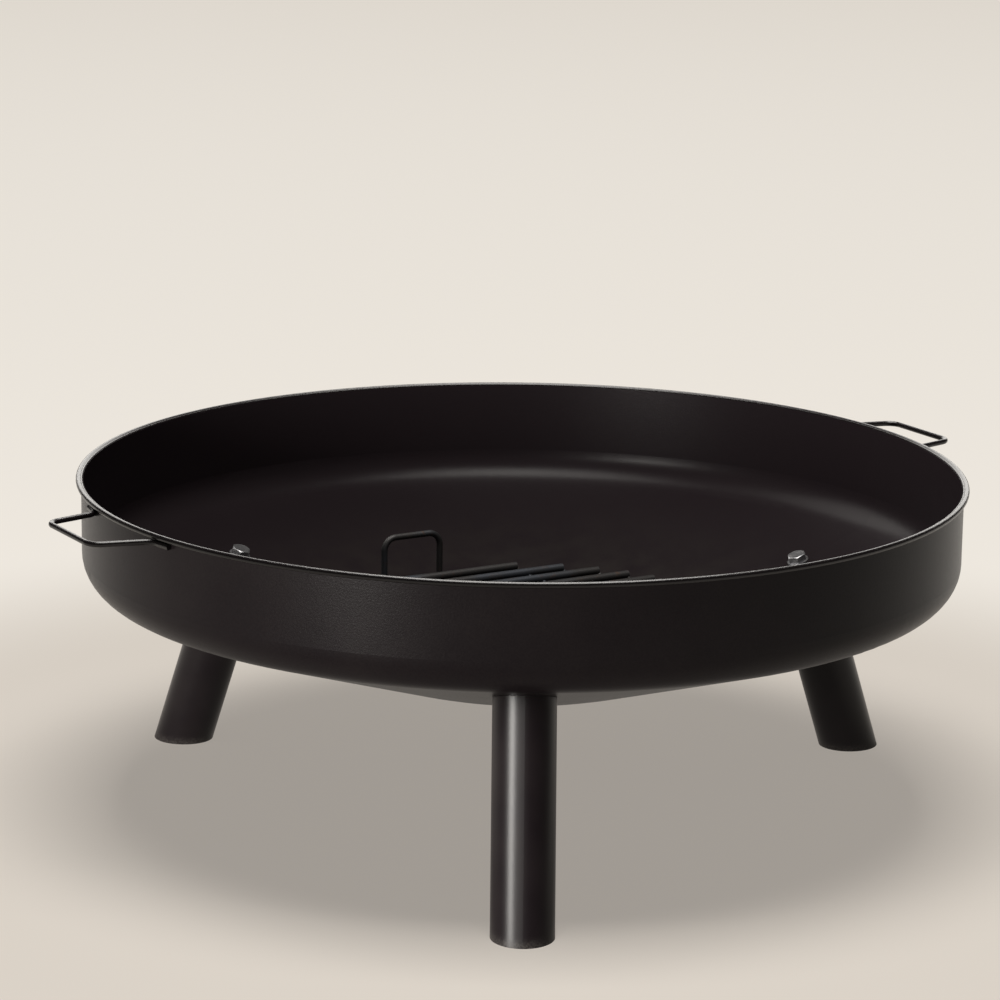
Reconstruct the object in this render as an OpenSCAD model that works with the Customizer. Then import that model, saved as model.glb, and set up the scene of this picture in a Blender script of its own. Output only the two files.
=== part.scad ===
// Garden fire bowl of sheet steel on three splayed tube legs, with a lift-out fuel grate.
// Millimetres. The origin is on the bowl's axis at ground level, +Z is up, and the two
// handles lie along +X and -X. One leg stands under the +X handle.

/* [Bowl] */
// Width over the ring around the rim
rim_d = 800; // [660:10:1000]
// Height of the rim above the ground
height = 309; // [260:1:420]
// Thickness of the bowl's sheet
sheet = 2; // [1.5:0.5:4]
// Height of the upright wall, above the bend
wall_h = 66; // [50:1:110]
// Outside radius of the bend between wall and bottom
bend_r = 33; // [16:1:50]
// Slope of the bottom, down towards its middle, in degrees
bottom_slope = 19; // [10:0.5:24]
// Outside radius that rounds the middle of the bottom
middle_r = 480; // [60:20:560]
// Thickness of the round rod around the rim
rim_rod_d = 5; // [4:0.5:10]
// How far the rim ring stands above the edge of the sheet
rim_step = 2; // [0.5:0.25:2.5]

/* [Handles] */
// Thickness of the handle rods
handle_rod_d = 5; // [4:0.5:8]
// Distance from the wall to the middle of the grip
handle_reach = 49; // [38:1:80]
// Length between the two outer corners of a handle
grip_len = 88; // [70:1:130]
// Distance between the two points where a handle leaves the wall
arm_span = 113; // [105:1:170]
// Length of each foot of a handle, which lies along the wall
handle_foot_len = 24; // [18:1:45]
// Radius of the handles' bends, at the middle of the rod
handle_bend_r = 13; // [7:1:16]

/* [Legs] */
// Outside width of the leg tubes
leg_d = 54; // [40:1:76]
// Wall of the leg tubes
leg_wall = 2; // [1.5:0.5:4]
// Distance from the bowl's wall in to the legs' bolts
leg_inset = 89; // [80:1:130]
// Thickness of the plate that closes a leg's top
top_plate_t = 5; // [4:0.5:8]
// Thickness of the plate that closes a leg's foot
foot_plate_t = 3; // [2:0.5:6]

/* [Bolts] */
// Thread size of the bolts, one to each leg
bolt_d = 10; // [6:1:12]
// Length of the bolts under the head
bolt_len = 20; // [20:1:30]

/* [Grate] */
// Space between the grate and the legs' bolts
grate_clear = 96; // [70:1:110]
// Thickness of the grate's ring and of its two cross bars
grate_rod_d = 10; // [8:0.5:14]
// Thickness of the grate's parallel bars
bar_d = 8; // [6:0.5:12]
// Number of parallel bars
bar_count = 15; // [9:2:17]
// Distance between the two cross bars
cross_span = 200; // [120:5:240]
// Thickness of the two lifting loops
loop_rod_d = 6; // [5:0.5:8]
// Width of a lifting loop, between the middles of its two sides
loop_w = 60; // [45:1:90]
// Height of a lifting loop above the grate's ring
loop_h = 45; // [30:1:70]

/* [Fits] */
// Depth to which welded rods melt into what they touch
weld_sink = 0.3; // [0.2:0.05:0.5]
// Depth to which the grate's crossed bars melt into each other
cross_sink = 0.8; // [0.5:0.1:1.2]
// Gap between the resting grate and the bowl
rest_gap = 0.3; // [0.2:0.1:1]
// Gap between a handle's feet and the rim ring above them
under_rim_gap = 0.3; // [0.2:0.1:3]
// Space around a bolt in its holes, on each side
bolt_hole_gap = 0.5; // [0.3:0.1:1]
// Space between a bolt's thread and its nut, on each side
thread_gap = 0.1; // [0.05:0.05:0.2]
// How much thicker rods and sheet are in their bends
bend_swell = 0.05; // [0.02:0.01:0.1]
// How far a straight stretch runs on inside a bend
bend_lap = 0.2; // [0.1:0.05:0.4]

/* [Hidden] */
$fn = 96;
far = 2 * rim_d; // longer than anything that it cuts
leg_angle = ["right", 0, "left", 120, "front", 240];
leg_names = [for (i = [0:2:4]) leg_angle[i]];

// Bowl: the corners of its outside, and the middles of the arcs that round them
wall_r = rim_d / 2 - rim_rod_d + weld_sink;
wall_top = height - rim_step;
bend_z = wall_top - wall_h;
cone_tip_z = bend_z - bend_r / cos(bottom_slope) - (wall_r - bend_r) * tan(bottom_slope);
middle_z = cone_tip_z + middle_r / cos(bottom_slope);

// Legs: square to the bottom, so they splay by the bottom's slope
leg_r = wall_r - leg_inset;
leg_z = bottom_z(leg_r);
leg_bore = leg_d - 2 * leg_wall;
leg_stock = leg_z / cos(bottom_slope) + leg_d;

// Bolts: the usual proportions of a hexagon bolt, its nut and its washer
hex_width = 1.6 * bolt_d;
head_h = 0.64 * bolt_d;
nut_h = 0.84 * bolt_d;
washer_d = 2 * bolt_d;
washer_t = 0.2 * bolt_d;
bolt_hole_d = bolt_d + 2 * bolt_hole_gap;
// A flat washer bridges the hollow of the bowl's curve, so it sits this much higher
hollow_r = leg_r / sin(bottom_slope) - sheet;
washer_seat = sheet + pow(washer_d / 2, 2) / (2 * hollow_r) + 0.02;

// Handles
handle_z = height - rim_rod_d - under_rim_gap - handle_rod_d / 2;
foot_line_r = wall_r + handle_rod_d / 2 - weld_sink;
arm_angle = asin(arm_span / 2 / foot_line_r);
foot_angle = arm_angle + atan(handle_foot_len / 2 / foot_line_r);
arm_root = on_circle(foot_line_r / cos(foot_angle - arm_angle), arm_angle);
handle_corner = [wall_r + handle_reach, grip_len / 2];

// Grate
grate_r = leg_r - grate_clear - grate_rod_d / 2;
grate_z = bottom_z(grate_r, sheet + rest_gap + grate_rod_d / 2);
bar_z = grate_z + grate_rod_d / 2 + bar_d / 2 - cross_sink;
bar_pitch = 2 * grate_r / (bar_count + 1);
bar_names = [for (i = [1:bar_count]) str("grate_bar_", i)];
loop_y = sqrt(pow(grate_r, 2) - pow(loop_w / 2, 2));

paint_black = [0.15, 0.14, 0.14];
grate_black = [0.2, 0.18, 0.17];
plain_steel = [0.5, 0.5, 0.52];

// ---- Shared shapes ----

function heading(a, b) = atan2(b[1] - a[1], b[0] - a[0]);
function on_circle(r, angle) = [r * cos(angle), r * sin(angle)];
// Straight length that a bend takes from each side of its corner
function bend_cut(corner_r, turn) = corner_r * tan(abs(turn) / 2);
// Height of what lies a distance above the bowl's outside: on the rounded middle, or on the slope
function bottom_z(r, lift = 0) = r < (middle_r - lift) * sin(bottom_slope)
    ? middle_z - sqrt(pow(middle_r - lift, 2) - r * r)
    : cone_tip_z + lift / cos(bottom_slope) + r * tan(bottom_slope);

// A round rod that starts at the origin along +X, by its straight lengths and the turn after each
module bent_rod(lengths, turns, rod_d, corner_r, i = 0) {
    start_lap = i > 0 ? bend_lap : 0;
    end_lap = i < len(turns) ? bend_lap : 0;
    translate([-start_lap, 0, 0])
        rotate([0, 90, 0]) cylinder(d = rod_d, h = start_lap + lengths[i] + end_lap);
    if (i < len(turns)) {
        side = sign(turns[i]) * corner_r;
        translate([lengths[i], side, 0]) {
            rotate([0, 0, side > 0 ? -90 : 90 + turns[i]])
                rotate_extrude(angle = abs(turns[i]))
                    translate([corner_r, 0]) circle(d = rod_d + bend_swell);
            rotate([0, 0, turns[i]])
                translate([0, -side, 0]) bent_rod(lengths, turns, rod_d, corner_r, i + 1);
        }
    }
}

// A straight round rod between two points
module rod(a, b, rod_d) {
    step = b - a;
    translate(a)
        rotate([0, acos(step[2] / norm(step)), atan2(step[1], step[0])])
            cylinder(d = rod_d, h = norm(step));
}

// A round rod bent into a level ring, by the radius of its middle line
module rod_ring(ring_r, rod_d) {
    rotate_extrude() translate([ring_r, 0]) circle(d = rod_d);
}

module hexagon(width, h) {
    cylinder(d = width / cos(30), h = h, $fn = 6);
}

// Places what is drawn at the origin on a leg's axis, where it meets the bowl's outside
module at_leg(angle) {
    rotate([0, 0, angle])
        translate([leg_r, 0, leg_z])
            rotate([0, -bottom_slope, 0]) children();
}

module at_every_leg() {
    for (i = [1:2:5]) at_leg(leg_angle[i]) children();
}

// Everything above a level
module above(z) {
    translate([-far / 2, -far / 2, z]) cube([far, far, far]);
}

// ---- Bowl ----

// A straight stretch of sheet in the profile, between two points of its outside
module strip(from, to, end_lap = bend_lap) {
    step = (to - from) / norm(to - from);
    in = sheet * [-step[1], step[0]];
    start = from - bend_lap * step;
    end = to + end_lap * step;
    polygon([start, end, end + in, start + in]);
}

// A bent stretch of sheet in the profile, by its outside radius and its two angles
module bend(middle, r, from, to) {
    reach = [for (angle = [from, (from + to) / 2, to]) middle + on_circle(2 * r, angle)];
    intersection() {
        translate(middle)
            difference() {
                circle(r = r + bend_swell / 2);
                circle(r = r - sheet - bend_swell / 2);
            }
        polygon(concat([middle], reach));
    }
}

module bowl_profile() {
    slant = bottom_slope - 90;
    bend_middle = [wall_r - bend_r, bend_z];
    bottom_middle = [0, middle_z];
    strip([wall_r, bend_z], [wall_r, wall_top], 0);
    bend(bend_middle, bend_r, slant, 0);
    strip(bottom_middle + on_circle(middle_r, slant), bend_middle + on_circle(bend_r, slant));
    bend(bottom_middle, middle_r, -90, slant);
}

module bowl() {
    color(paint_black)
        difference() {
            rotate_extrude() bowl_profile();
            at_every_leg() cylinder(d = bolt_hole_d, h = 4 * sheet, center = true);
        }
}

module rim_ring() {
    color(paint_black)
        translate([0, 0, height - rim_rod_d / 2])
            rod_ring(rim_d / 2 - rim_rod_d / 2, rim_rod_d);
}

// ---- Handles ----

// Half of a handle, from the middle of its grip along +Y to the end of its foot
module half_handle() {
    arm = norm(handle_corner - arm_root);
    grip_turn = heading(handle_corner, arm_root) - 90;
    foot_turn = foot_angle - heading(handle_corner, arm_root) + 90;
    grip_cut = bend_cut(handle_bend_r, grip_turn);
    foot_cut = bend_cut(handle_bend_r, foot_turn);
    lengths = [grip_len / 2 - grip_cut, arm - grip_cut - foot_cut, handle_foot_len - foot_cut];
    translate([handle_corner[0], 0, 0])
        rotate([0, 0, 90])
            bent_rod(lengths, [grip_turn, foot_turn], handle_rod_d, handle_bend_r);
}

module handle(angle) {
    color(paint_black)
        rotate([0, 0, angle])
            translate([0, 0, handle_z]) {
                half_handle();
                mirror([0, 1, 0]) half_handle();
            }
}

// ---- Legs ----

module leg(angle) {
    color(paint_black)
        intersection() {
            at_leg(angle)
                translate([0, 0, -leg_stock])
                    difference() {
                        cylinder(d = leg_d, h = leg_stock);
                        translate([0, 0, -1]) cylinder(d = leg_bore, h = leg_stock + 2);
                    }
            above(0);
        }
}

module leg_top_plate(angle) {
    color(plain_steel)
        at_leg(angle)
            translate([0, 0, -top_plate_t])
                difference() {
                    cylinder(d = leg_bore, h = top_plate_t);
                    translate([0, 0, -1]) cylinder(d = bolt_hole_d, h = top_plate_t + 2);
                }
}

module foot_plate(angle) {
    color(paint_black)
        difference() {
            intersection() {
                at_leg(angle) translate([0, 0, -leg_stock]) cylinder(d = leg_bore, h = leg_stock);
                above(0);
            }
            above(foot_plate_t);
        }
}

module leg_bolts() {
    color(plain_steel)
        at_every_leg()
            translate([0, 0, washer_seat + washer_t]) {
                hexagon(hex_width, head_h);
                translate([0, 0, -bolt_len]) cylinder(d = bolt_d, h = bolt_len + head_h / 2);
            }
}

module leg_washers() {
    color(plain_steel)
        at_every_leg()
            translate([0, 0, washer_seat])
                difference() {
                    cylinder(d = washer_d, h = washer_t);
                    translate([0, 0, -1]) cylinder(d = bolt_hole_d, h = washer_t + 2);
                }
}

module leg_nuts() {
    color(plain_steel)
        at_every_leg()
            translate([0, 0, -top_plate_t - nut_h])
                difference() {
                    hexagon(hex_width, nut_h);
                    translate([0, 0, -1]) cylinder(d = bolt_d + 2 * thread_gap, h = nut_h + 2);
                }
}

// ---- Grate ----

module grate_ring() {
    color(grate_black) translate([0, 0, grate_z]) rod_ring(grate_r, grate_rod_d);
}

module grate_bar(i) {
    y = (i - (bar_count + 1) / 2) * bar_pitch;
    half = sqrt(pow(grate_r, 2) - pow(y, 2)) + bar_d / 4;
    color(grate_black) rod([-half, y, bar_z], [half, y, bar_z], bar_d);
}

// The cross bars lie under the parallel bars, and end inside the ring
module grate_cross_bar(side) {
    x = side * cross_span / 2;
    half = sqrt(pow(grate_r - grate_rod_d / 2 + cross_sink, 2) - pow(x, 2));
    color(grate_black) rod([x, -half, grate_z], [x, half, grate_z], grate_rod_d);
}

// An upright loop that stands on the ring, to lift the grate by
module half_loop() {
    corner_r = 2 * loop_rod_d;
    foot = grate_rod_d / 2 - cross_sink;
    translate([0, loop_h, 0])
        bent_rod([loop_w / 2 - corner_r, loop_h - foot - corner_r], [-90], loop_rod_d, corner_r);
}

module grate_loop(side) {
    color(grate_black)
        translate([0, side * loop_y, grate_z])
            rotate([90, 0, 0]) {
                half_loop();
                mirror([1, 0, 0]) half_loop();
            }
}

bowl();
rim_ring();
handle(0);  // handle_right
handle(180);  // handle_left
for (i = [0:2:4]) {
    leg(leg_angle[i + 1]);
    leg_top_plate(leg_angle[i + 1]);
    foot_plate(leg_angle[i + 1]);
}
leg_bolts();
leg_washers();
leg_nuts();
grate_ring();
grate_cross_bar(1);  // grate_cross_bar_right
grate_cross_bar(-1);  // grate_cross_bar_left
grate_loop(1);  // grate_loop_back
grate_loop(-1);  // grate_loop_front
for (i = [1:bar_count]) {
    grate_bar(i);
}
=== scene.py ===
# %% [markdown]
# # A garden fire bowl on three legs, with a lift-out grate
#
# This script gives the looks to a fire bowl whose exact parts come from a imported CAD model.
# The CAD parts stay where they are. Blender adds their finishes, and the small things that a
# drawing leaves out: weld beads and real bolts. Run the cells from top to bottom.

from math import asin, cos, pi, radians, sin, sqrt, tan

import bpy
from mathutils import Matrix, Vector


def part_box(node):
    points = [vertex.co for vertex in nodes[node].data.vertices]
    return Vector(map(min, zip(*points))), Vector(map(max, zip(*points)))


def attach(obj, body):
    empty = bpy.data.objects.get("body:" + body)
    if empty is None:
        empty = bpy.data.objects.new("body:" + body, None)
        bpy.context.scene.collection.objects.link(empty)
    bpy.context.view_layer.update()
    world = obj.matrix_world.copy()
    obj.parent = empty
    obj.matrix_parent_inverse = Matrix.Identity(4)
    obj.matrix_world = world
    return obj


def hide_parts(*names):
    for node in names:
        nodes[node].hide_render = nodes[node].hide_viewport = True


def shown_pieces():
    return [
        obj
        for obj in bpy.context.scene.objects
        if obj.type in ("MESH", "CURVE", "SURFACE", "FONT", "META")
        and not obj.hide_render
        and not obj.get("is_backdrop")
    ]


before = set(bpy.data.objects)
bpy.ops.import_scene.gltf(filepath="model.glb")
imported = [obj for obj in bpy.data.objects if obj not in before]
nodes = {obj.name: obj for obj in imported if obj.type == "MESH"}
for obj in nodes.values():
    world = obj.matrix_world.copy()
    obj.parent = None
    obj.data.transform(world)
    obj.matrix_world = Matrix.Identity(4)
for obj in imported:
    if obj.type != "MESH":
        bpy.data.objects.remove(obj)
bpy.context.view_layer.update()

# %% [markdown]
# ## The camera
#
# The bowl is seen from a little above its rim, from a good three metres away. A long lens at
# that distance keeps the ellipse of the rim calm. A camera could be aimed with a constraint,
# but plain numbers are easier to repeat: where it stands round the bowl, how high, how far it
# is tilted down, and a small roll, as a hand-held camera has.

# %% Camera
CAMERA_AZIMUTH = -120.835  # degrees round the bowl from +X
CAMERA_DISTANCE = 3.3224  # metres from the bowl's axis
CAMERA_HEIGHT = 1.07065  # metres above the floor
CAMERA_TURN = 0.3448  # degrees, to the left of the bowl's axis
CAMERA_TILT = 13.3546  # degrees below level
CAMERA_ROLL = 0.7497  # degrees
CAMERA_LENS = 136.28  # millimetres, on a sensor 36 mm wide


def add_camera():
    """A camera on its circle round the bowl, turned towards it."""
    camera = bpy.data.objects.new("camera", bpy.data.cameras.new("camera"))
    bpy.context.scene.collection.objects.link(camera)
    camera.data.lens = CAMERA_LENS
    camera.data.sensor_width = 36
    camera.data.clip_end = 200
    angle = radians(CAMERA_AZIMUTH)
    stand = Vector((CAMERA_DISTANCE * cos(angle), CAMERA_DISTANCE * sin(angle), CAMERA_HEIGHT))
    heading = radians(CAMERA_AZIMUTH + 90 + CAMERA_TURN)
    turn = Matrix.Rotation(heading, 4, "Z") @ Matrix.Rotation(radians(90 - CAMERA_TILT), 4, "X")
    turn = turn @ Matrix.Rotation(radians(CAMERA_ROLL), 4, "Z")
    camera.matrix_world = Matrix.Translation(stand) @ turn
    bpy.context.scene.camera = camera
    return camera


camera = add_camera()
print("camera stands at", [round(x, 3) for x in camera.matrix_world.translation])

# %% [markdown]
# ## Sizes, measured from the frame
#
# Everything that is added later sits on a CAD part. So its place is worked out from the boxes
# of those parts, and not typed in twice. If the CAD model changes, these values follow it.

# %% Measure the parts
MM = 0.001


def middle(node):
    low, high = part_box(node)
    return (low + high) / 2


def width(node, axis):
    low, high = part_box(node)
    return high[axis] - low[axis]


rim_rod = width("rim_ring", 2)
wall_r = width("bowl", 0) / 2
wall_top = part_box("bowl")[1].z
handle_rod = width("handle_right", 2)
handle_z = middle("handle_right").z
grate_rod = width("grate_ring", 2)
grate_r = width("grate_ring", 0) / 2 - grate_rod / 2
grate_z = middle("grate_ring").z
bars = sorted((n for n in nodes if n.startswith("grate_bar_")), key=lambda n: middle(n).y)
bar_d = width(bars[0], 2)
cross_bars = [n for n in nodes if n.startswith("grate_cross_bar_")]
print(f"rim {width('rim_ring', 0) / MM:.0f} mm wide, rod {rim_rod / MM:.1f} mm")
print(f"grate {2 * grate_r / MM:.0f} mm wide, {len(bars)} bars of {bar_d / MM:.0f} mm")

# %% [markdown]
# ## Shader maths as Python
#
# A finish is a small sum: a little of this noise, less where the steel is warm, more near the
# ground. Adding Math nodes one by one hides that sum. This class wraps one socket and gives it
# Python's operators, so `0.4 + 0.1 * grain` adds the Math nodes by itself. Colours and
# directions need nodes of their own kind, so they go through `node`.

# %% A socket with operators


class Wire:
    """One value in a shader, which + - * and ** work on."""

    def __init__(self, tree, socket):
        self.tree, self.socket = tree, socket

    def node(self, kind, settings=(), sockets=(), out=0):
        """Any node: its type, its settings, then the values or links of its sockets."""
        made = self.tree.nodes.new("ShaderNode" + kind)
        for name, value in dict(settings).items():
            setattr(made, name, value)
        for key, value in dict(sockets).items():
            if isinstance(value, Wire):
                self.tree.links.new(value.socket, made.inputs[key])
            else:
                made.inputs[key].default_value = value
        return Wire(self.tree, made.outputs[out])

    def math(self, operation, *values):
        return self.node("Math", {"operation": operation}, dict(enumerate(values)))

    def vector(self, operation, *values, out=0):
        return self.node("VectorMath", {"operation": operation}, dict(enumerate(values)), out)

    def mix(self, share, first, second):
        """A colour that goes from the first to the second as share goes from 0 to 1."""
        sockets = {0: share, 6: first, 7: second}
        return self.node("Mix", {"data_type": "RGBA", "clamp_factor": True}, sockets, 2)

    def fade(self, start, end):
        """0 where this value is below start, 1 above end, and smooth in between."""
        sockets = {0: self, 1: start, 2: end}
        return self.node("MapRange", {"interpolation_type": "SMOOTHSTEP"}, sockets)

    def __add__(self, other):
        return self.math("ADD", self, other)

    def __sub__(self, other):
        return self.math("SUBTRACT", self, other)

    def __rsub__(self, other):
        return self.math("SUBTRACT", other, self)

    def __mul__(self, other):
        return self.math("MULTIPLY", self, other)

    def __pow__(self, other):
        return self.math("POWER", self, other)

    __radd__ = __add__
    __rmul__ = __mul__


# %% [markdown]
# ## One way to start every finish
#
# Each finish starts with a Principled shader. Values that are the same all over are set on its
# own sockets. What varies is worked out from Object coordinates, in metres, which stay put on
# a piece when it moves. `grain` is a noise whose size is said in millimetres.

# %% Start a finish


class Finish:
    """A material with its Principled shader, and the place on the piece as a Wire."""

    def __init__(self, name, **constants):
        self.material = bpy.data.materials.new(name)
        self.material.use_nodes = True
        self.tree = self.material.node_tree
        self.shader = self.tree.nodes["Principled BSDF"]
        for socket, value in constants.items():
            self.shader.inputs[socket.replace("_", " ")].default_value = value
        start = Wire(self.tree, None)
        self.place = start.node("TexCoord", out="Object")
        self.normal = start.node("TexCoord", out="Normal")
        axes = self.place.node("SeparateXYZ", sockets={0: self.place})
        self.height = Wire(self.tree, axes.socket.node.outputs[2])

    def grain(self, size_mm, detail=2.0, roughness=0.5):
        """Noise from 0 to 1, whose lumps are about this many millimetres apart."""
        sockets = {"Vector": self.place, "Scale": 1 / (size_mm * MM), "Detail": detail}
        sockets["Roughness"] = roughness
        return self.place.node("TexNoise", {}, sockets, "Fac")

    def feed(self, socket, value):
        """Links a Wire to one of the Principled shader's sockets."""
        self.tree.links.new(value.socket, self.shader.inputs[socket])

    def bump(self, height, depth_mm):
        """Makes the surface look as deep as this where height goes from 0 to 1."""
        sockets = {"Height": height, "Distance": depth_mm * MM, "Strength": 1.0}
        self.feed("Normal", self.place.node("Bump", {}, sockets))


# %% [markdown]
# ## The black paint on the bowl
#
# The bowl is sprayed with heat-resistant stove paint. It is nearly black with a warm, faintly
# purple cast, and it scatters light: a fine grain of about a millimetre breaks up every
# reflection. Heat makes it greyer on the inside, and where the fire burns it turns duller and
# browner, with a trace of ash. These are mixed in that order, one on top of the other.
# A picture of paint could be wrapped round the bowl, but noise needs no unwrapping and stays
# sharp from close by. Which side of the sheet is which comes from its normal: inside, it
# points up or towards the axis.

# %% Paint on the sheet
BLACK = (0.0036, 0.0024, 0.0031, 1)
BLACK_LIGHT = (0.0068, 0.0051, 0.0055, 1)
HEATED = (0.0135, 0.0100, 0.0115, 1)
SOOT = (0.0170, 0.0140, 0.0125, 1)
ASH = (0.060, 0.055, 0.050, 1)


def sheet_paint():
    """Rough black paint, which knows the inside of the bowl from its outside."""
    made = Finish("black_stove_paint", Specular_IOR_Level=0.085)
    place, normal = made.place, made.normal
    outward = place.vector("MULTIPLY", place, (1, 1, 0))
    outward = outward.vector("NORMALIZE", outward)
    up = normal.vector("DOT_PRODUCT", normal, (0, 0, 1), out=1)
    facing_out = normal.vector("DOT_PRODUCT", normal, outward, out=1)
    inside = (up - facing_out).fade(-0.1, 0.1)
    from_axis = place.vector("MULTIPLY", place, (1, 1, 0))
    from_axis = from_axis.vector("LENGTH", from_axis, out=1)

    powder = made.grain(1.5, detail=3, roughness=0.7)
    peel = made.grain(2.2, detail=2)
    clouds = made.grain(70, detail=3)
    patches = made.grain(28, detail=4, roughness=0.6)

    # How far from the axis each one reaches is in metres
    hearth = inside * (1 - from_axis.fade(0.16, 0.36)) * patches.fade(0.25, 0.75)
    ash = inside * (1 - from_axis.fade(0.05, 0.24)) * made.grain(9, detail=5).fade(0.5, 0.78)
    lighter = clouds.fade(0.3, 0.7) * 0.4 + powder.fade(0.3, 0.7) * 0.6
    colour = place.mix(lighter, BLACK, BLACK_LIGHT)
    colour = place.mix(inside * 0.8, colour, HEATED)
    colour = place.mix(hearth * 0.8, colour, SOOT)
    colour = place.mix(ash * 0.5, colour, ASH)
    made.feed("Base Color", colour)
    made.feed("Roughness", 0.23 + 0.05 * clouds + 0.12 * powder + 0.16 * hearth)
    made.bump(powder + 0.4 * peel, 0.11)
    return made.material


paint_sheet = sheet_paint()
nodes["bowl"].data.materials[0] = paint_sheet
print("bowl painted:", len(paint_sheet.node_tree.nodes), "nodes")

# %% [markdown]
# ## The same paint on rods and tubes
#
# Drawn rod and welded tube are smoother than pressed sheet, so the same paint lies flatter on
# them and shines more: the rim shows a crisp light line, and each leg a soft stripe. Rods and
# tubes take a finish each, which differ only in grain, gloss and dust. Near the ground the
# legs carry a little of it.

# %% Paint on rods and tubes
DUST = (0.085, 0.078, 0.070, 1)


def smooth_paint(name, powder_mm, gloss, roughness, dusty_to=0.0):
    """Paint on a smooth surface, with dust up to a height in metres."""
    made = Finish(name, Specular_IOR_Level=gloss)
    powder = made.grain(powder_mm, detail=2.5, roughness=0.6)
    clouds = made.grain(45, detail=2)
    colour = made.place.mix(clouds.fade(0.3, 0.7) * 0.5 + powder * 0.2, BLACK, BLACK_LIGHT)
    if dusty_to:
        low = (1 - made.height.fade(0, dusty_to)) ** 2
        dust = low * made.grain(1.5, detail=4).fade(0.3, 0.8)
        colour = made.place.mix(dust * 0.4, colour, DUST)
        made.feed("Roughness", roughness + 0.08 * powder + 0.3 * dust)
    else:
        made.feed("Roughness", roughness + 0.08 * powder)
    made.feed("Base Color", colour)
    made.bump(powder, 0.03)
    return made.material


paint_rod = smooth_paint("black_paint_on_rod", 0.4, 0.32, 0.22)
paint_tube = smooth_paint("black_paint_on_tube", 0.6, 0.19, 0.27, dusty_to=0.012)
for name in ("rim_ring", "handle_right", "handle_left"):
    nodes[name].data.materials[0] = paint_rod
for name in nodes:
    if name.startswith(("leg_right", "leg_left", "leg_front", "foot_plate", "leg_top_plate")):
        nodes[name].data.materials[0] = paint_tube
print("rods and tubes painted")

# %% [markdown]
# ## Fire-darkened steel
#
# The grate has no paint. Its rods were bare mill steel, and the fire has put a scale on them:
# dark grey with brown rust in patches, blue-grey where it got hottest, and a rough skin.
# A metal shader with a dark base and high roughness shows that best. Plain black paint would
# look wet beside it.

# %% Grate steel and zinc
SCALE_GREY = (0.050, 0.048, 0.048, 1)
SCALE_BLUE = (0.060, 0.066, 0.078, 1)
SCALE_RUST = (0.090, 0.048, 0.028, 1)
ZINC_DARK = (0.20, 0.20, 0.21, 1)
ZINC_LIGHT = (0.30, 0.30, 0.31, 1)
ZINC_SOOT = (0.10, 0.09, 0.085, 1)


def grate_steel():
    """Mill scale with rust in patches and a blue cast where it got hot."""
    made = Finish("fire_darkened_steel", Metallic=0.75)
    skin = made.grain(0.9, detail=4, roughness=0.6)
    patches = made.grain(22, detail=4, roughness=0.6)
    rust = made.grain(7, detail=5, roughness=0.65).fade(0.52, 0.72) * patches.fade(0.4, 0.65)
    heat = made.grain(60, detail=1).fade(0.45, 0.7)
    colour = made.place.mix(heat, SCALE_GREY, SCALE_BLUE)
    colour = made.place.mix(rust * 0.7, colour, SCALE_RUST)
    made.feed("Base Color", colour)
    made.feed("Roughness", 0.46 + 0.14 * skin + 0.2 * rust)
    made.bump(skin + 0.6 * rust, 0.12)
    return made.material


def dull_zinc():
    """Zinc plating that has lost its shine near the fire."""
    made = Finish("dull_zinc", Metallic=1.0)
    spangle = made.grain(1.6, detail=3)
    soot = made.grain(5, detail=4).fade(0.45, 0.75)
    colour = made.place.mix(spangle, ZINC_DARK, ZINC_LIGHT)
    made.feed("Base Color", made.place.mix(soot * 0.6, colour, ZINC_SOOT))
    made.feed("Roughness", 0.36 + 0.12 * spangle + 0.2 * soot)
    made.bump(spangle, 0.03)
    return made.material


steel, zinc = grate_steel(), dull_zinc()
for name in nodes:
    if name.startswith("grate_"):
        nodes[name].data.materials[0] = steel
    elif name in ("leg_bolts", "leg_washers", "leg_nuts"):
        nodes[name].data.materials[0] = zinc
print("grate and fasteners finished")

# %% [markdown]
# ## A helper that grows a Geometry Nodes tree
#
# Weld beads follow a path, and weld spots and bolts repeat. Geometry Nodes are made for both.
# The helper builds a tree with named inputs, ends it in Realize Instances and Set Material,
# runs it on a starting shape, and keeps the result as a plain mesh on the body it belongs to.

# %% Grow a piece


class Tree:
    """A Geometry Nodes tree, with a method that adds any node."""

    def __init__(self, name, inputs):
        self.group = bpy.data.node_groups.new(name, "GeometryNodeTree")
        face = self.group.interface
        face.new_socket("Geometry", in_out="INPUT", socket_type="NodeSocketGeometry")
        for label, kind in inputs.items():
            face.new_socket(label, in_out="INPUT", socket_type="NodeSocket" + kind)
        face.new_socket("Geometry", in_out="OUTPUT", socket_type="NodeSocketGeometry")
        self.start = self.group.nodes.new("NodeGroupInput")

    def node(self, kind, settings=(), sockets=(), out=0):
        made = self.group.nodes.new(kind)
        for name, value in dict(settings).items():
            setattr(made, name, value)
        for key, value in dict(sockets).items():
            if isinstance(value, bpy.types.NodeSocket):
                self.group.links.new(value, made.inputs[key])
            else:
                made.inputs[key].default_value = value
        return made.outputs[out]

    def math(self, operation, *values):
        return self.node("ShaderNodeMath", {"operation": operation}, dict(enumerate(values)))

    def end(self, geometry):
        """Realize Instances, Set Material, and the output."""
        real = self.node("GeometryNodeRealizeInstances", {}, {0: geometry})
        sockets = {"Geometry": real, "Material": self.start.outputs["Material"]}
        painted = self.node("GeometryNodeSetMaterial", {}, sockets)
        last = self.group.nodes.new("NodeGroupOutput")
        self.group.links.new(painted, last.inputs[0])
        return self


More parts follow.
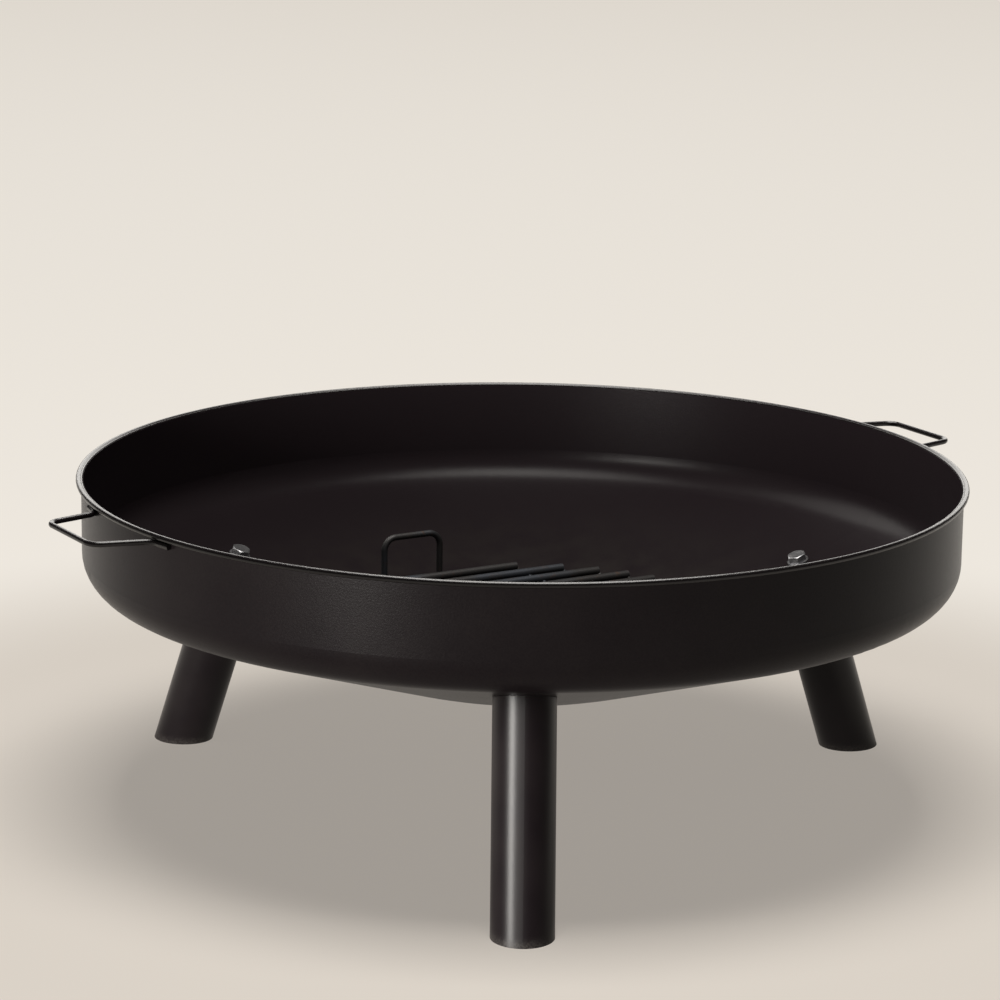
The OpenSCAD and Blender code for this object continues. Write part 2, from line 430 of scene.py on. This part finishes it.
def grow(tree, start_data, name, body, slot, material, **values):
    """Runs a tree on a starting shape, and rides the plain mesh that it makes on a body."""
    seed = bpy.data.objects.new(name + "_start", start_data)
    bpy.context.scene.collection.objects.link(seed)
    modifier = seed.modifiers.new("grow", "NODES")
    modifier.node_group = tree.group
    values["Material"] = material
    for item in tree.group.interface.items_tree:
        if item.in_out == "INPUT" and item.name in values:
            modifier[item.identifier] = values[item.name]
    seed.update_tag()
    graph = bpy.context.evaluated_depsgraph_get()
    mesh = bpy.data.meshes.new_from_object(seed.evaluated_get(graph), depsgraph=graph)
    seed.modifiers.remove(modifier)
    bpy.data.objects.remove(seed)
    piece = bpy.data.objects.new(name, mesh)
    mesh.name = name
    bpy.context.scene.collection.objects.link(piece)
    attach(piece, body)
    print(f"{name}: {len(mesh.polygons)} faces on {body}")
    return piece


def paths(name, lines, closed=False):
    """A curve object's data, with one poly spline for each line of points."""
    data = bpy.data.curves.new(name, "CURVE")
    data.dimensions = "3D"
    for line in lines:
        spline = data.splines.new("POLY")
        spline.points.add(len(line) - 1)
        for point, place in zip(spline.points, line):
            point.co = (*place, 1)
        spline.use_cyclic_u = closed
    return data


# %% [markdown]
# ## Weld beads
#
# The rim's rod is welded to the edge of the sheet, and each handle's feet to the wall. A weld
# is laid in small steps, which leave a row of overlapping ripples. The tree walks along a path
# and makes the bead a little thicker and thinner at every step. A Curve to Mesh node does the
# walking, and the curve's radius carries the ripple. Most of the bead lies inside the steel,
# so only its face shows.

# %% Bead along a path


def bead_tree():
    """A round bead along a curve, thicker in the middle of each step of the weld."""
    inputs = {"Bead": "Float", "Step": "Float", "Ripple": "Float", "Material": "Material"}
    tree = Tree("weld_bead", inputs)
    given = tree.start.outputs
    spacing = tree.math("DIVIDE", given["Step"], 6.0)
    sockets = {"Curve": given["Geometry"], "Length": spacing}
    fine = tree.node("GeometryNodeResampleCurve", {"mode": "LENGTH"}, sockets)
    along = tree.node("GeometryNodeSplineParameter", out="Length")
    phase = tree.math("FRACT", tree.math("DIVIDE", along, given["Step"]))
    hump = tree.math("POWER", tree.math("SINE", tree.math("MULTIPLY", phase, pi)), 0.6)
    uneven = tree.node("ShaderNodeTexNoise", {}, {"Scale": 140.0, "Detail": 1.0})
    size = tree.math("MULTIPLY", hump, given["Ripple"])
    size = tree.math("ADD", size, tree.math("MULTIPLY", uneven, 0.25))
    size = tree.math("ADD", size, 0.75)
    sized = tree.node("GeometryNodeSetCurveRadius", {}, {"Curve": fine, "Radius": size})
    sockets = {"Resolution": 10, "Radius": given["Bead"]}
    ring = tree.node("GeometryNodeCurvePrimitiveCircle", {}, sockets)
    sockets = {"Curve": sized, "Profile Curve": ring, "Fill Caps": True}
    bead = tree.node("GeometryNodeCurveToMesh", {}, sockets)
    smooth = tree.node("GeometryNodeSetShadeSmooth", {}, {"Geometry": bead, "Shade Smooth": True})
    return tree.end(smooth)


bead = bead_tree()
print("the bead tree has", len(bead.group.nodes), "nodes")

# %% Weld of the rim
RIM_BEAD = 0.9 * MM


def circle(radius, z, count):
    """Points on a level circle round the bowl's axis."""
    angles = [2 * pi * i / count for i in range(count)]
    return [(radius * cos(angle), radius * sin(angle), z) for angle in angles]


# The bead lies in the step between the sheet's edge and the ring's inner side
rim_line = paths("rim_line", [circle(wall_r - 0.3 * MM, wall_top + 0.1 * MM, 720)], closed=True)
grow(bead, rim_line, "rim_weld", "fire_bowl", "black_paint", paint_rod,
     Bead=RIM_BEAD, Step=4.2 * MM, Ripple=0.2)

# %% [markdown]
# The feet of the handles lie along the wall, close under the rim. A welder can reach them only
# from below, so that is where the bead goes: in the corner under the rod, along the curve of
# the wall.

# %% Welds of the handles
HANDLE_BEAD = 1.5 * MM
BEAD_LENGTH = 15 * MM
FOOT_INSET = 4 * MM  # from the rod's end to the bead


def foot_lines():
    """The corner under each foot of both handles, as lines of points along the wall."""
    span = width("handle_right", 1) / 2
    r = wall_r + 0.9 * MM
    z = handle_z - handle_rod / 2 + 0.3 * MM
    last = asin((span - FOOT_INSET) / wall_r)
    first = asin((span - FOOT_INSET - BEAD_LENGTH) / wall_r)
    lines = []
    for side in (0, pi):
        for mirrored in (1, -1):
            angles = [side + mirrored * (first + (last - first) * i / 12) for i in range(13)]
            lines.append([(r * cos(angle), r * sin(angle), z) for angle in angles])
    return lines


grow(bead, paths("foot_lines", foot_lines()), "handle_welds", "fire_bowl", "black_paint", paint_rod,
     Bead=HANDLE_BEAD, Step=3.4 * MM, Ripple=0.28)

# %% [markdown]
# ## Weld spots on the grate
#
# Each bar of the grate is joined where it crosses the ring and the cross bars, by a small lump
# of weld in the corner on each side. That makes over a hundred lumps, so they are one little
# low ball, placed at points and turned and sized by chance. The seed is fixed, so each run
# gives the same grate.

# %% Spots where bars cross


def spot_tree():
    """A little low ball at each point, turned and sized by chance."""
    tree = Tree("weld_spots", {"Spot": "Float", "Seed": "Int", "Material": "Material"})
    given = tree.start.outputs
    sockets = {"Radius": given["Spot"], "Subdivisions": 2}
    ball = tree.node("GeometryNodeMeshIcoSphere", {}, sockets)
    smooth = tree.node("GeometryNodeSetShadeSmooth", {}, {"Geometry": ball, "Shade Smooth": True})

    def chance(least, most):
        sockets = {0: least, 1: most, "Seed": given["Seed"]}
        return tree.node("FunctionNodeRandomValue", {"data_type": "FLOAT_VECTOR"}, sockets)

    size = chance((0.85, 0.85, 0.6), (1.3, 1.2, 0.85))
    turn = chance((-0.3, -0.3, 0.0), (0.3, 0.3, 6.28))
    sockets = {"Points": given["Geometry"], "Instance": smooth, "Rotation": turn, "Scale": size}
    return tree.end(tree.node("GeometryNodeInstanceOnPoints", {}, sockets))


def crossings():
    """Points in the two corners at each crossing of a bar with the ring or a cross bar."""
    points = []
    z = grate_z + grate_rod / 2 + 0.5 * MM
    out = bar_d / 2 - 0.5 * MM
    for bar in bars:
        y = middle(bar).y
        x = sqrt(grate_r ** 2 - y ** 2)
        places = [(Vector((side * x, y, z)), Vector((-side * y, x, 0)).normalized())
                  for side in (1, -1)]
        for cross in cross_bars:
            if abs(y) < width(cross, 1) / 2:
                places.append((Vector((middle(cross).x, y, z)), Vector((0, 1, 0))))
        for spot, along in places:
            points += [spot + along * out, spot - along * out]
    return points


spot_mesh = bpy.data.meshes.new("crossings")
spot_mesh.from_pydata(crossings(), [], [])
grow(spot_tree(), spot_mesh, "grate_welds", "grate", "grate_steel", steel, Spot=2.2 * MM, Seed=7)

# %% [markdown]
# ## The bolts
#
# Each leg hangs on one bolt, whose head shows inside the bowl. A real head has its corners
# turned off at thirty degrees, and a thread below. A cylinder tool can't make that shape, so
# the bolt is built from rings round an axis, and each ring follows a hexagon, a circle or one
# turn of the thread. Its sizes are measured from a bolt of the frame, and its three places from
# the plates that close the legs.

# %% Measure the bolts
TOP_PLATE = "leg_top_plate_"
legs = [name.replace(TOP_PLATE, "") for name in nodes if name.startswith(TOP_PLATE)]


def leg_axis(leg):
    """A point on the leg's axis, and the direction up along it, from its flat top plate."""
    plate = nodes[TOP_PLATE + leg]
    face = max(plate.data.polygons, key=lambda p: p.area * (p.normal.z > 0.5))
    return middle(TOP_PLATE + leg), face.normal.copy()


def measure_bolt(leg):
    """Sizes of one bolt, and the height of its head's seat above the middle of the plate."""
    start, up = leg_axis(leg)
    found = []
    for vertex in nodes["leg_bolts"].data.vertices:
        step = vertex.co - start
        along = step.dot(up)
        away = (step - along * up).length
        if away < 30 * MM:  # the other legs' bolts are much further off
            found.append((along, away))
    top, low = max(found)[0], min(found)[0]
    corner = max(away for along, away in found)
    seat = min(along for along, away in found if away > 0.8 * corner)
    shank = max(away for along, away in found if along < low + 0.5 * MM)
    sizes = {"head": top - seat, "length": seat - low, "corner": corner, "shank": shank}
    return seat, sizes


seat, bolt = measure_bolt(legs[0])
print({name: round(value / MM, 2) for name, value in bolt.items()})

# %% One bolt
BOLT_SIDES = 72
THREAD_PITCH = 1.5 * MM
THREAD_DEPTH = 0.5 * MM
CHAMFER = tan(radians(30))


def bolt_rings(size):
    """The bolt from its head down, as functions from an angle to a radius and a height."""
    flat = size["corner"] * cos(pi / 6)
    face, shank, root = 0.93 * flat, size["shank"], size["shank"] - THREAD_DEPTH
    head, end, dot = size["head"], -size["length"], 0.02 * flat

    def hexagon(angle):
        return flat / cos((angle + pi / 6) % (pi / 3) - pi / 6)

    def thread(radius, depth):
        return lambda angle: (radius, -depth - THREAD_PITCH * angle / (2 * pi))

    rings = [lambda angle: (dot, head), lambda angle: (face, head)]
    rings.append(lambda angle: (hexagon(angle), head - (hexagon(angle) - face) * CHAMFER))
    rings += [lambda angle: (hexagon(angle), 0.0), lambda angle: (shank, 0.0)]
    for turn in range(int(size["length"] / THREAD_PITCH) - 1):
        depth = THREAD_PITCH * (turn + 0.6)
        rings += [thread(shank, depth), thread(root, depth + 0.5 * THREAD_PITCH)]
    rings += [lambda angle: (root, end + THREAD_DEPTH), lambda angle: (root - THREAD_DEPTH, end)]
    rings.append(lambda angle: (dot, end))
    return rings


def bolt_mesh(size):
    """A hexagon bolt along Z, with the seat of its head at zero."""
    corners, faces = [], []
    rings = bolt_rings(size)
    for ring in rings:
        for i in range(BOLT_SIDES):
            angle = 2 * pi * i / BOLT_SIDES
            r, z = ring(angle)
            corners.append((r * cos(angle), r * sin(angle), z))
    for k in range(len(rings) - 1):
        above, below = k * BOLT_SIDES, (k + 1) * BOLT_SIDES
        for i in range(BOLT_SIDES):
            j = (i + 1) % BOLT_SIDES
            faces.append((above + i, below + i, below + j, above + j))
    faces.append(tuple(range(BOLT_SIDES)))
    faces.append(tuple(reversed(range(len(corners) - BOLT_SIDES, len(corners)))))
    mesh = bpy.data.meshes.new("bolt")
    mesh.from_pydata(corners, [], faces)
    return mesh


bolt_shape = bpy.data.objects.new("bolt_shape", bolt_mesh(bolt))
print("one bolt has", len(bolt_shape.data.polygons), "faces")

# %% [markdown]
# Geometry Nodes put one bolt at each place. The places are three loose points, and each has
# an attribute of its own that says how its bolt is turned. The tree reads it by its name.

# %% A bolt for each leg


def places_tree():
    """Puts an object at each point, turned as the point's own attribute says."""
    tree = Tree("bolt_places", {"Bolt": "Object", "Material": "Material"})
    given = tree.start.outputs
    shape = tree.node("GeometryNodeObjectInfo", {}, {"Object": given["Bolt"]}, "Geometry")
    direction = {"data_type": "FLOAT_VECTOR"}
    turn = tree.node("GeometryNodeInputNamedAttribute", direction, {"Name": "turn"})
    sockets = {"Points": given["Geometry"], "Instance": shape, "Rotation": turn}
    return tree.end(tree.node("GeometryNodeInstanceOnPoints", {}, sockets))


def bolt_points():
    """A point on the seat of each bolt, with the turn that sets it along its leg."""
    axes = [leg_axis(leg) for leg in legs]
    mesh = bpy.data.meshes.new("bolt_points")
    mesh.from_pydata([start + seat * up for start, up in axes], [], [])
    attribute = mesh.attributes.new("turn", "FLOAT_VECTOR", "POINT")
    for item, (start, up) in zip(attribute.data, axes):
        item.vector = up.to_track_quat("Z", "Y").to_euler()
    return mesh


bolts = grow(places_tree(), bolt_points(), "leg_bolts_threaded", "fire_bowl", "zinc_steel", zinc,
             Bolt=bolt_shape)
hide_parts("leg_bolts")
bpy.data.objects.remove(bolt_shape)

# %% [markdown]
# ## The floor and the backdrop
#
# The floor is a plain pale disc, which grows lighter away from the bowl, so that it runs into
# the backdrop without a seam. It glows a little of its own, which lifts the shadow as the
# bounce of a white room would. A real floor plane with a bent-up back would do it too, but its
# edge shows as soon as the camera moves.

# %% Floor
FLOOR_R = 60.0  # metres
NEAR_GLOW = (0.342, 0.314, 0.283, 1)
FAR_GLOW = (0.78, 0.735, 0.67, 1)
HORIZON_GLOW = (0.66, 0.61, 0.545, 1)
NEAR_COLOUR = (0.40, 0.375, 0.345, 1)
FAR_COLOUR = (0.10, 0.095, 0.09, 1)


def add_floor():
    """A pale disc under the bowl, whose colour and glow change with the distance from it."""
    bpy.ops.mesh.primitive_circle_add(vertices=128, radius=FLOOR_R, fill_type="NGON")
    floor = bpy.context.object
    floor.name = "floor"
    made = Finish("pale_floor", Specular_IOR_Level=0.0, Roughness=1.0, Emission_Strength=1.0)
    place = made.place
    from_axis = place.vector("LENGTH", place, out=1)
    far = from_axis.fade(0.62, 1.05)
    glow = place.mix(far, NEAR_GLOW, FAR_GLOW)
    glow = place.mix(from_axis.fade(3.0, 10.0) * 0.7, glow, HORIZON_GLOW)
    made.feed("Emission Color", glow)
    made.feed("Base Color", place.mix(far, NEAR_COLOUR, FAR_COLOUR))
    floor.data.materials.append(made.material)
    floor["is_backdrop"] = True


add_floor()
print("floor laid")

# %% [markdown]
# ## The light
#
# A dark object in a studio takes large soft lights, and each has one thing to do. The top
# softbox lights everything and makes the one soft shadow. The key and the shoulder beside it
# make the stripe on the legs. A low one puts a soft sheen on the bowl's wall. One stands behind
# on the left and shines into the bowl, and two behind draw the line on the rim. In a real
# studio black flags keep such lights off everything else; here light linking does it.

# %% Lights
WARM_WHITE = (1.0, 0.972, 0.925)


def only(*names):
    """A collection of the pieces whose names start so, for a light that falls on them alone."""
    lit = bpy.data.collections.new("lit_" + names[0])
    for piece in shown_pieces():
        if piece.name.startswith(names):
            lit.objects.link(piece)
    return lit


def softbox(name, azimuth, elevation, distance, size, radiance, falls_on=None):
    """A rectangular area light that faces the bowl, at an azimuth counted from the camera."""
    light = bpy.data.lights.new(name, "AREA")
    light.shape = "RECTANGLE"
    light.size, light.size_y = size
    light.energy = radiance * pi * size[0] * size[1]
    light.color = WARM_WHITE
    lamp = bpy.data.objects.new(name, light)
    bpy.context.scene.collection.objects.link(lamp)
    around, up = radians(CAMERA_AZIMUTH + azimuth), radians(elevation)
    away = Vector((cos(around) * cos(up), sin(around) * cos(up), sin(up)))
    lamp.location = Vector((0, 0, 0.15)) + away * distance
    lamp.rotation_euler = away.to_track_quat("Z", "Y").to_euler()
    lamp.visible_camera = False
    lamp.light_linking.receiver_collection = falls_on


legs_alone = only("leg_", "foot_")
rods_alone = only("rim_", "handle_")
inside_alone = only("bowl", "grate_", "leg_bolts", "leg_washers")
softbox("top_softbox", 0, 83, 2.8, (1.5, 1.5), 11.5)
softbox("key_softbox", -40, 24, 2.4, (0.68, 1.6), 46, legs_alone)
softbox("shoulder_softbox", -14, 24, 2.4, (1.2, 1.3), 3.5, legs_alone)
softbox("low_softbox", -37, 8, 2.2, (0.5, 0.5), 76, only("bowl"))
softbox("inside_softbox", -130, 36, 2.6, (1.8, 1.6), 3.2, inside_alone)
softbox("rim_softbox", 180, 70, 2.6, (1.7, 1.3), 14, rods_alone)
softbox("back_panel", 180, 20, 3.4, (4.0, 1.6), 2.8, rods_alone)

# %% [markdown]
# The backdrop is the world itself. The camera sees it light, but what it sends onto the object
# is dim, so that the black paint stays black. A Light Path node tells the two apart.

# %% Backdrop
DIM = (0.07, 0.066, 0.06, 1)
SEEN = (0.70, 0.65, 0.58, 1)


def add_backdrop():
    """A world that is light to the camera and dim to everything else."""
    world = bpy.data.worlds.new("backdrop")
    bpy.context.scene.world = world
    world.use_nodes = True
    sky = Wire(world.node_tree, None)
    colour = sky.mix(sky.node("LightPath", out="Is Camera Ray"), DIM, SEEN)
    world.node_tree.links.new(colour.socket, world.node_tree.nodes["Background"].inputs[0])


add_backdrop()
bpy.context.scene.view_settings.view_transform = "Standard"
print("backdrop hung")
